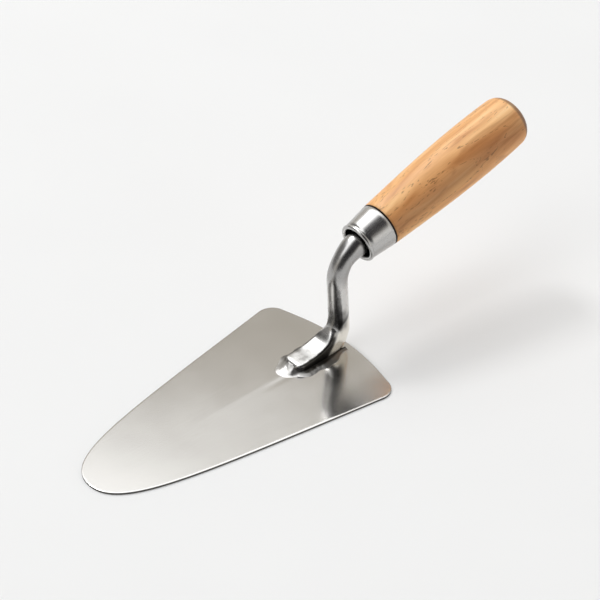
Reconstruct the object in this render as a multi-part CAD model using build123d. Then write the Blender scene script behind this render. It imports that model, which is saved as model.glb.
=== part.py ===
from build123d import *
import math
import os

# A round-nose brick trowel, in millimetres: a thin steel blade, a cranked steel shank welded to it,
# a ferrule and a turned wooden handle.
# X runs along the blade to its tip, Y to the left, and Z up. The origin is on the blade's underside,
# on its centreline, under the middle of the shank's foot.

# Blade
BLADE_LENGTH = 180.0  # middle of the heel to the tip
BLADE_WIDTH = 103.6  # across the heel, before its corners are rounded
BLADE_THICKNESS = 1.4
HEEL_SETBACK = 20.0  # the origin to the middle of the heel
HEEL_RADIUS = 130.0  # the bowed middle of the heel
HEEL_SWEEP = 14.6  # degrees, the heel's flanks against Y
HEEL_CORNER_RADIUS = 9.8
SIDE_TAPER = 9.4  # degrees, each side against the centreline
NOSE_LENGTH = 119.0  # the tip to the end of the straight sides
NOSE_FULLNESS = 88.0  # how far the nose's curve keeps the sides' direction
TIP_FULLNESS = 22.3  # how far the nose's curve keeps the tip's direction

# Shank: a round bar cranked twice, with a forged foot at one end and a tang at the other
BAR_DIAMETER = 11.6
BAR_SWELL = 1.2  # the bar's radius grows by this inside the ferrule, up to the wood
HANDLE_TILT = 14.9  # degrees, the handle's axis rises to the rear
NECK_LEAN = 5.0  # degrees, the neck leans forward as it rises
NECK_HEIGHT = 52.7  # the foot's axis to the handle's axis, along Z
UPPER_BEND_RADIUS = 17.5  # at the bar's centreline
LOWER_BEND_RADIUS = 9.0  # at the bar's centreline
BAR_LIFT = 0.15  # the bar's underside stands this far off the blade
BAR_RUN_INTO_FOOT = 0.5
NECK_SETBACK = 3.4  # the middle of the blade's heel to the crossing of the neck and foot axes
FOOT_REACH = 37.0  # the crossing of the neck and foot axes to the toe
FOOT_HEEL_WIDTH = 9.6
FOOT_HEEL_HEIGHT = 6.0
FOOT_WIDTH = 14.0  # at the toe
FOOT_TOE_HEIGHT = 5.8
FOOT_TOE_RADIUS = 5.5  # the toe's corners, seen from above
FOOT_EDGE_RADIUS = 2.2  # along the foot's edges
FOOT_ROOT_SIZE = 0.98  # share of the bar's diameter, where the foot leaves the bend
FOOT_ROOT_ROUNDING = 0.45  # the corner radius there, also a share of the bar's diameter
FOOT_MIDDLE_BAR_SHARE = 0.38  # halfway along, the height has this much of the bar's, the rest is the toe's
FOOT_MIDDLE_ROUNDING = 1.5  # halfway along, the corners are this much rounder than the toe's
TANG_LENGTH = 66.0
TANG_WIDTH = 7.6  # square, where it enters the wood
TANG_END_WIDTH = 4.6

# Weld round the foot
WELD_WIDTH = 3.6  # beside the foot
WELD_HEIGHT = 1.5
WELD_TOE_RUN = 9.0  # the toe to the front of the weld
WELD_HEEL_RUN = 1.3  # behind the foot
WELD_CREST_WIDTH = 0.2  # beside the foot, at the top of the weld

# Ferrule: a tapered tube with a rolled lip
FERRULE_LENGTH = 17.4
FERRULE_MOUTH_DISTANCE = 15.5  # the crossing of the neck and handle axes to the mouth
FERRULE_MOUTH_RADIUS = 11.2  # outside, without the lip
FERRULE_REAR_RADIUS = 13.2  # outside
FERRULE_WALL = 1.2
LIP_SECTION_RADIUS = 1.2

# Handle: turned wood, its nose inside the ferrule
GRIP_LENGTH = 108.0  # the ferrule's rear edge to the butt
GRIP_FRONT_RADIUS = 15.2
GRIP_FRONT_SHARE = 0.33  # of the grip's length, where the front radius is
GRIP_RADIUS = 16.1  # at the fullest point
GRIP_RADIUS_SHARE = 0.62  # of the grip's length, where the fullest point is
GRIP_REAR_RADIUS = 15.5  # where the butt's dome starts
GRIP_NECK_STEP = 0.05  # the wood stands below the ferrule's rear edge
BUTT_DOME_LENGTH = 9.0
BUTT_SIDE_FULLNESS = 0.75  # share of the dome's length that keeps the grip's direction
BUTT_FACE_FULLNESS = 0.66  # share of the rear radius that stays flat across the butt
NOSE_RECESS = 6.5  # the ferrule's mouth to the wood's nose

# Derived places, measured from the origin
blade_top = BLADE_THICKNESS
bar_radius = BAR_DIAMETER / 2
foot_axis_z = blade_top + BAR_LIFT + bar_radius
lower_corner = Vector(-HEEL_SETBACK + NECK_SETBACK, 0, foot_axis_z)
neck_direction = Vector(math.sin(math.radians(NECK_LEAN)), 0, math.cos(math.radians(NECK_LEAN)))
upper_corner = lower_corner + neck_direction * (NECK_HEIGHT / neck_direction.Z)
toe_x = lower_corner.X + FOOT_REACH
lower_bend_end = LOWER_BEND_RADIUS * math.tan(math.radians(45 + NECK_LEAN / 2))  # past the lower corner
handle_direction = Vector(-math.cos(math.radians(HANDLE_TILT)), 0, math.sin(math.radians(HANDLE_TILT)))

# Places along the handle's axis, measured from the upper corner
ferrule_rear = FERRULE_MOUTH_DISTANCE + FERRULE_LENGTH
wood_nose = FERRULE_MOUTH_DISTANCE + NOSE_RECESS
butt_end = ferrule_rear + GRIP_LENGTH


def ferrule_outside(distance):
    """The ferrule's outer radius at a distance along the handle's axis."""
    share = (distance - FERRULE_MOUTH_DISTANCE) / FERRULE_LENGTH
    return FERRULE_MOUTH_RADIUS + (FERRULE_REAR_RADIUS - FERRULE_MOUTH_RADIUS) * share


def ferrule_inside(distance):
    """The ferrule's inner radius, which is also the radius of the wood's nose."""
    return ferrule_outside(distance) - FERRULE_WALL


def on_handle_axis(shape):
    """Move a shape drawn round Z, with Z = 0 at the upper corner, onto the handle's axis."""
    return Plane(origin=upper_corner, x_dir=(0, 1, 0), z_dir=handle_direction) * shape


def turned(profile):
    """Spin a closed profile, drawn in XZ with X as the radius, about Z."""
    return revolve(make_face(profile), axis=Axis.Z)


def make_blade():
    sweep = math.radians(HEEL_SWEEP)
    taper = math.radians(SIDE_TAPER)
    heel_x = -HEEL_SETBACK
    tip = Vector(heel_x + BLADE_LENGTH, 0)
    bow_end = Vector(heel_x + HEEL_RADIUS * (1 - math.cos(sweep)), HEEL_RADIUS * math.sin(sweep))
    half_width = BLADE_WIDTH / 2
    corner = Vector(bow_end.X + (half_width - bow_end.Y) * math.tan(sweep), half_width)
    side_direction = Vector(math.cos(taper), -math.sin(taper))
    side_end = corner + side_direction * ((tip.X - NOSE_LENGTH - corner.X) / side_direction.X)

    bow = ThreePointArc(
        (bow_end.X, -bow_end.Y),
        (heel_x, 0),
        (bow_end.X, bow_end.Y),
    )
    flank = Line(bow_end, corner)
    side = Line(corner, side_end)
    nose = Bezier(
        side_end,
        side_end + side_direction * NOSE_FULLNESS,
        tip + Vector(0, TIP_FULLNESS),
        tip,
    )
    left = Curve() + [flank, side, nose]
    outline = make_face(Curve() + [bow, left, mirror(left, about=Plane.XZ)])
    corners = outline.vertices().group_by(Axis.Y)
    outline = fillet(corners[0] + corners[-1], HEEL_CORNER_RADIUS)
    return extrude(outline, BLADE_THICKNESS)


def foot_outline(side_margin, toe_margin, heel_margin):
    """The foot seen from above, grown by a margin at its sides, its toe and its heel."""
    front = toe_x + toe_margin
    back = lower_corner.X - heel_margin
    width = FOOT_WIDTH + 2 * side_margin
    return Pos((front + back) / 2, 0) * RectangleRounded(front - back, width, FOOT_TOE_RADIUS + side_margin)


def foot_section(distance, width, height, corner_radius):
    """A cross-section of the foot, standing on the blade, at a distance past the lower corner."""
    centre = (lower_corner.X + distance, 0, blade_top + height / 2)
    plane = Plane(origin=centre, x_dir=(0, 1, 0), z_dir=(1, 0, 0))
    return plane * RectangleRounded(width, height, corner_radius)


def make_foot():
    middle = (lower_bend_end + FOOT_REACH) / 2
    middle_height = FOOT_TOE_HEIGHT + (BAR_DIAMETER - FOOT_TOE_HEIGHT) * FOOT_MIDDLE_BAR_SHARE
    root_size = BAR_DIAMETER * FOOT_ROOT_SIZE
    shape = loft(
        [
            foot_section(0, FOOT_HEEL_WIDTH, FOOT_HEEL_HEIGHT, FOOT_EDGE_RADIUS),
            foot_section(lower_bend_end, root_size, root_size, BAR_DIAMETER * FOOT_ROOT_ROUNDING),
            foot_section(
                middle,
                (BAR_DIAMETER + FOOT_WIDTH) / 2,
                middle_height,
                FOOT_EDGE_RADIUS * FOOT_MIDDLE_ROUNDING,
            ),
            foot_section(FOOT_REACH, FOOT_WIDTH, FOOT_TOE_HEIGHT, FOOT_EDGE_RADIUS),
        ]
    )
    return shape & Pos(0, 0, blade_top) * extrude(foot_outline(0, 0, 0), 2 * BAR_DIAMETER)


def make_tang():
    """The square tapered tang, along Z from the wood's nose."""
    root = Pos(0, 0, wood_nose) * Rectangle(TANG_WIDTH, TANG_WIDTH)
    end = Pos(0, 0, wood_nose + TANG_LENGTH) * Rectangle(TANG_END_WIDTH, TANG_END_WIDTH)
    return on_handle_axis(loft([root, end]))


def make_swell():
    """The bar's thicker end, from the upper bend to the wood's nose."""
    corner_angle = math.acos(-handle_direction.dot(neck_direction))
    bend_end = UPPER_BEND_RADIUS / math.tan(corner_angle / 2)
    length = wood_nose - bend_end
    cone = Cone(bar_radius, bar_radius + BAR_SWELL, length, align=(Align.CENTER, Align.CENTER, Align.MIN))
    return on_handle_axis(Pos(0, 0, bend_end) * cone)


def make_shank():
    bar_end = upper_corner + handle_direction * wood_nose
    foot_join = lower_corner + Vector(lower_bend_end + BAR_RUN_INTO_FOOT, 0, 0)
    centreline = FilletPolyline(
        bar_end, upper_corner, lower_corner, foot_join, radius=[UPPER_BEND_RADIUS, LOWER_BEND_RADIUS]
    )
    section = Plane(origin=bar_end, z_dir=-handle_direction) * Circle(bar_radius)
    bar = sweep(section, path=centreline)
    return bar + make_swell() + make_foot() + make_tang()


def make_weld(shank):
    crest_outline = foot_outline(WELD_CREST_WIDTH, WELD_CREST_WIDTH, WELD_CREST_WIDTH)
    base = Pos(0, 0, blade_top) * foot_outline(WELD_WIDTH, WELD_TOE_RUN, WELD_HEEL_RUN)
    crest = Pos(0, 0, blade_top + WELD_HEIGHT) * crest_outline
    return loft([base, crest]) - shank


def make_ferrule():
    mouth = FERRULE_MOUTH_DISTANCE
    wall_start = mouth + LIP_SECTION_RADIUS
    wall = Polyline(
        (ferrule_inside(wall_start), 0, wall_start),
        (ferrule_outside(wall_start), 0, wall_start),
        (FERRULE_REAR_RADIUS, 0, ferrule_rear),
        (ferrule_inside(ferrule_rear), 0, ferrule_rear),
        close=True,
    )
    lip_centre = (ferrule_outside(mouth) + ferrule_inside(mouth)) / 2
    lip = revolve(
        Plane(origin=(lip_centre, 0, wall_start), z_dir=(0, -1, 0)) * Circle(LIP_SECTION_RADIUS),
        axis=Axis.Z,
    )
    return on_handle_axis(turned(wall) + lip)


def make_handle(tang):
    dome_start = butt_end - BUTT_DOME_LENGTH
    shoulder_radius = FERRULE_REAR_RADIUS - GRIP_NECK_STEP
    grip = Spline(
        (shoulder_radius, 0, ferrule_rear),
        (GRIP_FRONT_RADIUS, 0, ferrule_rear + GRIP_LENGTH * GRIP_FRONT_SHARE),
        (GRIP_RADIUS, 0, ferrule_rear + GRIP_LENGTH * GRIP_RADIUS_SHARE),
        (GRIP_REAR_RADIUS, 0, dome_start),
    )
    dome = Bezier(
        grip @ 1,
        (grip @ 1) + (grip % 1) * (BUTT_DOME_LENGTH * BUTT_SIDE_FULLNESS),
        (GRIP_REAR_RADIUS * BUTT_FACE_FULLNESS, 0, butt_end),
        (0, 0, butt_end),
    )
    nose = Polyline(
        (0, 0, butt_end),
        (0, 0, wood_nose),
        (ferrule_inside(wood_nose), 0, wood_nose),
        (ferrule_inside(ferrule_rear), 0, ferrule_rear),
        (shoulder_radius, 0, ferrule_rear),
    )
    return on_handle_axis(turned(Curve() + [grip, dome, nose])) - tang


os.makedirs("parts", exist_ok=True)
shank = make_shank()
pieces = {
    "blade": make_blade(),
    "shank": shank,
    "weld": make_weld(shank),
    "ferrule": make_ferrule(),
    "handle": make_handle(make_tang()),
}
for name, piece in pieces.items():
    export_step(piece, f"parts/{name}.step")
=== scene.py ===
import math

import bmesh
import bpy
from mathutils import Matrix, Vector, noise


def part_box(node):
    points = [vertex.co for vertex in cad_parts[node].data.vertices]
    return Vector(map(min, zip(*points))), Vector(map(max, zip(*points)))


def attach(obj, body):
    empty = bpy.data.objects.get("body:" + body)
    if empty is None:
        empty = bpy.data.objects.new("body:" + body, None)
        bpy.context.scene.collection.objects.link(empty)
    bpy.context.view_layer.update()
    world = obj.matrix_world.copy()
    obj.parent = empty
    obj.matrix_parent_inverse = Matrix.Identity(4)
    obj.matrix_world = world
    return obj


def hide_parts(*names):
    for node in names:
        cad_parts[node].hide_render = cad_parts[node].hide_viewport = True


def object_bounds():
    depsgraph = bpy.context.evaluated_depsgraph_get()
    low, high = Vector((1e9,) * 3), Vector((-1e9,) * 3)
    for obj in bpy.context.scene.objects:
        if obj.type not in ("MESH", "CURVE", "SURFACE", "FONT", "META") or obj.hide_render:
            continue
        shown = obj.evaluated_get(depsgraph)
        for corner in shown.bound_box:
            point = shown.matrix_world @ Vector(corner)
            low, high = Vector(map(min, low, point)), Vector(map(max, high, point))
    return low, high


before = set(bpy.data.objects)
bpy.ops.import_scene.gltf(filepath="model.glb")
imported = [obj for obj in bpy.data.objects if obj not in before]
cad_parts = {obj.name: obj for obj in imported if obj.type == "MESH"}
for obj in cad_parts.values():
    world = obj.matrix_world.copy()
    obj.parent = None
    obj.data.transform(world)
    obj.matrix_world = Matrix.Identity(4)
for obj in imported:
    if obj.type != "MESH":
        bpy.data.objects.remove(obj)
cad_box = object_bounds()

# A brick trowel lying on a pale floor. Metres; X runs to the blade's tip, Y to the left, Z up.
MM = 0.001
LEFT = Vector((0, 1, 0))
UP = Vector((0, 0, 1))
MERGE_DISTANCE = 1e-7

# ---- Places taken from the frame ----
blade_low, blade_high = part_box("blade")
HEEL_X = blade_low.x
TIP_X = blade_high.x
BLADE_TOP = blade_high.z
TOE_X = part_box("shank")[1].x

# ---- Sizes of the blade ----
BLADE_WIDTH = 103.6 * MM  # between the side lines where they meet the heel, before the corners are rounded
HEEL_RADIUS = 130 * MM
HEEL_SWEEP = math.radians(14.6)
HEEL_CORNER_RADIUS = 9.8 * MM
SIDE_TAPER = math.radians(9.4)
NOSE_LENGTH = 119 * MM
NOSE_FULLNESS = 88 * MM
TIP_FULLNESS = 22.3 * MM
EDGE_ROUNDING = 0.2 * MM
EDGE_BEVEL = 0.25 * MM
EDGE_BEVEL_DROP = 0.08 * MM
EDGE_BEVEL_CURVE = 1.3
CROWN_HEIGHT = 0.5 * MM  # the blade is a little thicker along its middle
CROWN_SOFTNESS = 0.016  # share of the half width that the ridge is rounded over
CROWN_RISE = 30 * MM  # from the heel to the ridge's full height
CROWN_FADE = (14 * MM, 104 * MM)
HOLLOW_DEPTH = 0.055 * MM  # a shallow hollow beside the ridge, ahead of the weld
HOLLOW_OFFSET = 3.6 * MM
HOLLOW_WIDTH = 1.9 * MM
HOLLOW_START = (TOE_X - 4 * MM, TOE_X + 4 * MM)
HOLLOW_END = (TOE_X + 2 * MM, TOE_X + 30 * MM)
SPINE_HEEL_GAP = 9 * MM  # the faces run in to a line that stops this far short of the heel
SPINE_TIP_GAP = 20 * MM

# ---- Sizes of the shank ----
BAR_RADIUS = 5.8 * MM
BAR_SWELL = 1.2 * MM  # the bar thickens where it enters the ferrule
BAR_LIFT = 0.15 * MM  # the bar's underside clears the blade by this much before the foot
BAR_LIFT_FADE = 6 * MM
BAR_IN_WOOD = 1 * MM
HANDLE_TILT = math.radians(14.9)
NECK_LEAN = math.radians(5)
NECK_HEIGHT = 52.7 * MM
NECK_SETBACK = 3.4 * MM
UPPER_BEND_RADIUS = 17.5 * MM
LOWER_BEND_INSIDE = 10 * MM
LOWER_BEND_OUTSIDE = 10 * MM
LOWER_BEND_THINNING = 4 * MM  # forged out of the bar's height by the bend's end
LOWER_BEND_THINNING_CURVE = 1.6
LOWER_BEND_FLATTENING = 0.4  # share of the bend that stays round
FOOT_START_SLOPE = -0.31
FOOT_END_SLOPE = -0.04
FOOT_HEEL_HALF_WIDTH = 6.7 * MM
FOOT_TOE_WIDTH = 13.9 * MM
FOOT_TOE_HEIGHT = 5.3 * MM
FOOT_TOE_RADIUS = 5.5 * MM
FOOT_EDGE_RADIUS = 3.4 * MM
FOOT_EDGE_DEPTH = 0.8  # share of that rounding which the toe's top edge takes
FOOT_SQUARENESS = 4.5  # how far the foot's section is from round
FOOT_DROOP = 0.28  # how far below its middle the section is widest, as a share of the height
FORGE_DEPTH = 0.14 * MM
FORGE_SCALE = 190  # bumps about 5 mm apart
FORGE_FADE = (10 * MM, 26 * MM)
FORGE_SEED = 3  # noise_vector moves with the clock unless it is seeded

# ---- Sizes of the weld ----
WELD_HEIGHT = 1.5 * MM
WELD_SIDE_HEIGHT = 1.1 * MM
WELD_SIDE_RUN = 4.2 * MM
WELD_MIDDLE_RUN = 5.2 * MM
WELD_HEEL_RUN = 1.6 * MM
WELD_HEEL_START = 1 * MM
WELD_TOE_RUN = 3.8 * MM
WELD_TOE_RISE = 2.4 * MM  # how much higher the weld climbs the middle of the toe
WELD_TONGUE = 3.6 * MM
WELD_TONGUE_SHARPNESS = 8
WELD_ROOT = 0.9 * MM
WELD_SINK = 0.02 * MM  # the weld's rim dips just under the blade's face
WELD_WOBBLE = 0.35  # share of the run that its ragged rim varies by
WELD_WOBBLE_SCALE = 160
WELD_WOBBLE_SEED = 0.3
WELD_CLIMB_LEFT = (0.8, 0.2)  # how far the normal points left where the climb starts, and where it is full
WELD_CLIMB_RIGHT = (-0.95, -0.5)
WELD_TOE_HOLLOWNESS = 1.2
WELD_CLIMB_HOLLOWNESS = -0.6

# ---- Sizes of the ferrule ----
FERRULE_LENGTH = 17.4 * MM
FERRULE_MOUTH = 15.5 * MM  # the crossing of the neck and handle axes to the mouth
FERRULE_MOUTH_RADIUS = 11.2 * MM
FERRULE_REAR_RADIUS = 13.2 * MM
FERRULE_WALL = 1.2 * MM
FERRULE_CHAMFER = 0.25 * MM
LIP_RADIUS = 1.2 * MM
LIP_START = math.radians(50)
LIP_SWEEP = math.radians(260)
LIP_GROOVE_DEPTH = 0.35 * MM
LIP_TO_GROOVE = 0.85 * LIP_RADIUS  # from the lip's centre
LIP_TO_WALL = 1.1 * LIP_RADIUS

# ---- Sizes of the handle ----
GRIP_LENGTH = 108 * MM
GRIP_FRONT_RADIUS = 15.2 * MM
GRIP_FRONT_PLACE = 0.33  # as a share of the grip's length
GRIP_RADIUS = 16.1 * MM
GRIP_PLACE = 0.62
GRIP_REAR_RADIUS = 15.5 * MM
BUTT_DOME = 9 * MM
BUTT_SIDE_FULLNESS = 0.75
BUTT_FACE_FULLNESS = 0.64
JOINT_GROOVE = 0.8 * MM  # between the ferrule and the wood
GROOVE_SHOULDER = 0.5 * MM
NOSE_RECESS = 6.5 * MM
NOSE_CHAMFER = 0.4 * MM
NOSE_CLEARANCE = 0.05 * MM
NOSE_END_GAP = 0.1 * MM

# ---- How finely the pieces are drawn ----
ROUND_STEPS = 96  # facets round a turned piece
BAR_STEPS = 72  # facets round the bar
HEEL_STEPS = 30
FLANK_STEPS = 16
CORNER_STEPS = 24
SIDE_STEPS = 44
NOSE_STEPS = 160
EDGE_STEPS = 6
BEVEL_STEPS = 4
FACE_STEPS = 72
FACE_CROWDING = 1.5  # draws the rings of the blade's faces in towards its middle
UNDERSIDE_SKIP = 4  # the flat underside has one ring for this many of the top's
BAR_END_STEPS = 6
UPPER_BEND_STEPS = 28
NECK_STEPS = 12
LOWER_BEND_STEPS = 40
FOOT_STEPS = 26
TOE_STEPS = 22
WELD_STEPS = 18
WELD_SIDE_STEPS = 40
WELD_TOE_STEPS = 16  # on each side of the toe's middle
TUBE_STEPS = 7
LIP_STEPS = 24
GRIP_STEPS = 60
BUTT_STEPS = 32

# ---- Places worked out from the sizes ----
FOOT_AXIS_Z = BLADE_TOP + BAR_LIFT + BAR_RADIUS
LOWER_CORNER = Vector((HEEL_X + NECK_SETBACK, 0, FOOT_AXIS_Z))
NECK_DIRECTION = Vector((math.sin(NECK_LEAN), 0, math.cos(NECK_LEAN)))
UPPER_CORNER = LOWER_CORNER + NECK_DIRECTION * (NECK_HEIGHT / NECK_DIRECTION.z)
HANDLE_DIRECTION = Vector((-math.cos(HANDLE_TILT), 0, math.sin(HANDLE_TILT)))
FOOT_START = LOWER_CORNER.x + (LOWER_BEND_INSIDE + BAR_RADIUS) * math.tan(math.pi / 4 + NECK_LEAN / 2)
FERRULE_REAR = FERRULE_MOUTH + FERRULE_LENGTH
FERRULE_SLOPE = (FERRULE_REAR_RADIUS - FERRULE_MOUTH_RADIUS) / FERRULE_LENGTH
WOOD_NOSE = FERRULE_MOUTH + NOSE_RECESS
BUTT_END = FERRULE_REAR + GRIP_LENGTH

# ---- Colours (r, g, b), painted light and shade, and finishes ----
BLADE_TONE = (0.535, 0.525, 0.508)
SHANK_TONE = (0.41, 0.403, 0.397)
NECK_SHEEN_TONE = (0.74, 0.73, 0.715)
HEEL_HIGHLIGHT_TONE = (0.90, 0.865, 0.79)
WELD_TONE = (0.40, 0.392, 0.38)
FERRULE_TONE = (0.50, 0.493, 0.483)
# near-black for painted shade and painted dark reflections, also used to dim the foot
SHADE_AND_DIMMING_BLACK = (0.020, 0.018, 0.014)
DULLNESS = 0.12  # added to the roughness where the polish is worn
SMUDGE_SCALE = (38, 38, 38)
SMUDGE_TONE = 0.975
SMUDGE_SPREAD = (0.35, 0.65)
ROUGHNESS_EVERYWHERE = 0.75  # shares of the steel's roughness
ROUGHNESS_IN_SMUDGES = 0.3
ROUGHNESS_IN_BRUSHING = 0.2
# darkening low on the foot: some everywhere, more in patches and behind the toe
DIMMING_SCALE = (160, 160, 160)
DIMMING_SPREAD = (0.35, 0.7)
DIMMING_EVERYWHERE = 0.3
DIMMING_IN_PATCHES = 0.26
DIMMING_AT_BACK = 0.2
RAGGED_SCALE = (330, 330, 330)
BRUSH_BUMP = (0.03, 0.2 * MM)  # (strength, depth)
WAVE_DEPTH = 1 * MM
BLACK_STRENGTH = 0.93
EDGE_STRENGTH = 0.85
STREAK_STRENGTH = 0.75
BEND_STRENGTH = 0.6
WELD_TOP_STRENGTH = 0.34
WELD_MIDDLE_STRENGTH = 0.62
WOOD_TONES = [
    (0.30, (0.68, 0.300, 0.095)),
    (0.44, (0.86, 0.440, 0.165)),
    (0.58, (0.95, 0.540, 0.225)),
    (0.75, (0.97, 0.610, 0.290)),
]
WOOD_STREAK = (0.52, 0.215, 0.070)
WOOD_PORE = (0.19, 0.075, 0.024)
WOOD_FIBRES = [(0.3, (0.92, 0.89, 0.86)), (0.6, (1, 1, 1))]
# Painted light and shade on the wood, from its lower left side, past a painted darker band, to its upper
# right side
WOOD_PAINTED_SHADING = [
    (0, (1.0, 0.97, 0.92)),
    (0.03, (0.88, 0.83, 0.77)),
    (0.12, (0.63, 0.53, 0.46)),
    (0.35, (0.72, 0.64, 0.61)),
    (0.54, (0.81, 0.755, 0.75)),
    (0.74, (0.97, 1.03, 1.13)),
    (1, (0.90, 0.93, 0.98)),
]
WOOD_END_GRAIN = (0.14, 0.065, 0.028)
# painted shade on the wood inside the ferrule and in the groove behind it
WOOD_PAINTED_SHADE = (0.02, 0.011, 0.007)
# Scales along the handle and across it
GRAIN_SCALE = (11, 75, 75)
STREAK_SCALE = (17, 120, 120)
FIBRE_SCALE = (70, 1700, 1700)
PORE_SCALE = (300, 1100, 1100)
PORE_PATCH_SCALE = (30, 160, 160)
PORE_LINE_SCALE = (330, 800, 800)
# Noise levels as (none of it, all of it), and how strongly each mark shows
STREAK_SPREAD = (0.50, 0.68)
PORE_SPREAD = (0.675, 0.72)
PORE_PATCH_SPREAD = (0.50, 0.62)
PORE_DOT_SPREAD = (0.50, 0.60)
PORE_LINE_LEVEL = 0.47  # the grain's contour that lines of pores follow
PORE_LINE_WIDTH = (0.016, 0.005)
WOOD_STREAK_STRENGTH = 0.5
WOOD_PORE_STRENGTH = 0.6
WOOD_END_STRENGTH = 0.8
FLOOR_TONES = [(0.3, (0.520, 0.521, 0.521)), (0.7, (0.530, 0.532, 0.532))]
FLOOR_GLOW = 0.27
FLOOR_SIZE = 6

# ---- Where the finishes and the painted light and shade change, as (none of it, all of it) ----
CORNER_DULL_ACROSS = (12 * MM, 44 * MM)
CORNER_DULL_ALONG = (30 * MM, -6 * MM)
EDGE_DARK = (BLADE_TOP - 0.15 * MM, BLADE_TOP - 0.35 * MM)
# heights over which the painted sheen on the lower shank comes in
NECK_SHEEN_HEIGHTS = (52 * MM, 40 * MM)
DIMMING_HEIGHT = (BLADE_TOP + 14 * MM, BLADE_TOP + 10 * MM)
DIMMING_BEHIND_TOE = (TOE_X - 6 * MM, TOE_X - 12 * MM)
HEEL_LEAN = 0.83  # the heel's edge runs back this much for each unit that it climbs
# where the painted cream highlight sits at the foot's heel
HEEL_HIGHLIGHT = (2 * MM, -1 * MM)
HEEL_HIGHLIGHT_HEIGHT = (34 * MM, 8 * MM)
SIDE_OUTWARD = (5.7 * MM, 6.8 * MM)
SIDE_HEIGHT = (BLADE_TOP + 28 * MM, BLADE_TOP + 18 * MM)
SIDE_AHEAD_OF_HEEL = (-0.5 * MM, 2.5 * MM)
SIDE_BEHIND_TOE = (TOE_X - 1 * MM, TOE_X - 5 * MM)
SIDE_RAGGEDNESS = 1.2 * MM
SIDE_CLIMB_START = BLADE_TOP + 6 * MM
SIDE_CLIMB = 0.16  # the dark side reaches in this much for each unit above there
CREASE_HEIGHT = (BLADE_TOP + 2 * MM, BLADE_TOP + 1 * MM)
STREAK_FLARE = (36 * MM, 23 * MM)
STREAK_FLARE_SHIFT = 0.5 * MM
STREAK_FLARE_WIDTH = 1.9 * MM
STREAK_CENTRE = 1.9 * MM
STREAK_WIDTH = (2.5 * MM, 0.3 * MM)
STREAK_WANDER = 1.6 * MM
STREAK_FRONT = (1.5 * MM, 3 * MM)
STREAK_BOTTOM = (12 * MM, 20 * MM)
STREAK_TOP = (62 * MM, 50 * MM)
BEND_BOTTOM = (13 * MM, 18 * MM)
BEND_TOP = (31 * MM, 26 * MM)
BEND_FRONT = (-3 * MM, 0)
WELD_TOP_DARK = (BLADE_TOP + 0.75 * MM, BLADE_TOP + 1.05 * MM)
WELD_MIDDLE_DARK = (BLADE_TOP + 0.15 * MM, BLADE_TOP + 0.35 * MM)
WELD_BEHIND_TOE = (TOE_X + 1 * MM, TOE_X - 5 * MM)
TUBE_INSIDE = (0.6 * FERRULE_WALL, 0.95 * FERRULE_WALL)
TUBE_BEHIND_LIP = (FERRULE_MOUTH + 0.8 * LIP_RADIUS, FERRULE_MOUTH + 2.2 * LIP_RADIUS)
WOOD_ACROSS = (1.2 * GRIP_RADIUS, -1.4 * GRIP_RADIUS)
WOOD_END = (BUTT_END - 7 * MM, BUTT_END - 5 * MM)
# where the painted shade on the wood ends
WOOD_SHADE_END = (FERRULE_REAR + JOINT_GROOVE, FERRULE_REAR + 1.4 * JOINT_GROOVE)

# ---- Camera and light ----
CAMERA_AZIMUTH = math.radians(136.35)
CAMERA_ELEVATION = 37.58
CAMERA_ROLL = math.radians(1.48)
CAMERA_DISTANCE = 1.179
CAMERA_LENS = 132
CAMERA_SENSOR = 36
CAMERA_REACH = 50
CAMERA_TARGET = Vector((14.3 * MM, 0, 46.8 * MM))
KEY_PLACE = (-139.5, 56.5)  # (azimuth, elevation) in degrees, as direction() takes them
KEY_DISTANCE = 3
KEY_SIZE = 0.6
KEY_POWER = 30
STUDIO_LEVEL = 1.5
STUDIO_TILT = math.radians(13)
# (sine of the height above the tilted horizon, colour)
STUDIO_RISE = [
    (0.0, (0.50, 0.49, 0.47)),
    (0.5, (0.45, 0.425, 0.38)),
    (0.622, (0.455, 0.425, 0.375)),
    (0.643, (0.50, 0.48, 0.445)),
    (0.652, (0.51, 0.498, 0.475)),
    (0.658, (0.62, 0.61, 0.595)),
    (0.666, (1.02, 1.02, 1.015)),
    (0.676, (1.50, 1.51, 1.515)),
    (0.78, (1.45, 1.465, 1.475)),
    (0.90, (1.75, 1.77, 1.785)),
    (1.0, (1.85, 1.87, 1.885)),
]
# ((azimuth, elevation), degrees of full strength, degrees to the end, colour)
STUDIO_PATCHES = [
    ((-100, 22), 24, 42, (0.17, 0.165, 0.16)),
    ((0, 20), 26, 46, (0.015, 0.014, 0.016)),
    ((36, 60), 21, 43, (0.03, 0.028, 0.03)),
    ((62, -2), 14, 30, (0.80, 0.79, 0.77)),
]


# ---- Small helpers ----
def smoothstep(low, high, value):
    share = min(max((value - low) / (high - low), 0), 1)
    return share * share * (3 - 2 * share)


def hermite(start, start_slope, end, end_slope, length, distance):
    """A cubic from start to end over a length, with set slopes at both ends."""
    t = min(max(distance / length, 0), 1)
    return (
        start * (2 * t**3 - 3 * t**2 + 1)
        + start_slope * length * (t**3 - 2 * t**2 + t)
        + end * (3 * t**2 - 2 * t**3)
        + end_slope * length * (t**3 - t**2)
    )


def bezier(pulls, t):
    """The point at t, from 0 to 1, on the plane curve that four points pull."""
    weights = ((1 - t) ** 3, 3 * t * (1 - t) ** 2, 3 * t * t * (1 - t), t**3)
    return sum((pull * weight for pull, weight in zip(pulls, weights)), Vector((0, 0)))


def rounding(radius, past):
    """How far a rounded corner has come in, at a distance past the place where it starts."""
    return radius - math.sqrt(max(radius**2 - max(past, 0) ** 2, 0))


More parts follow.
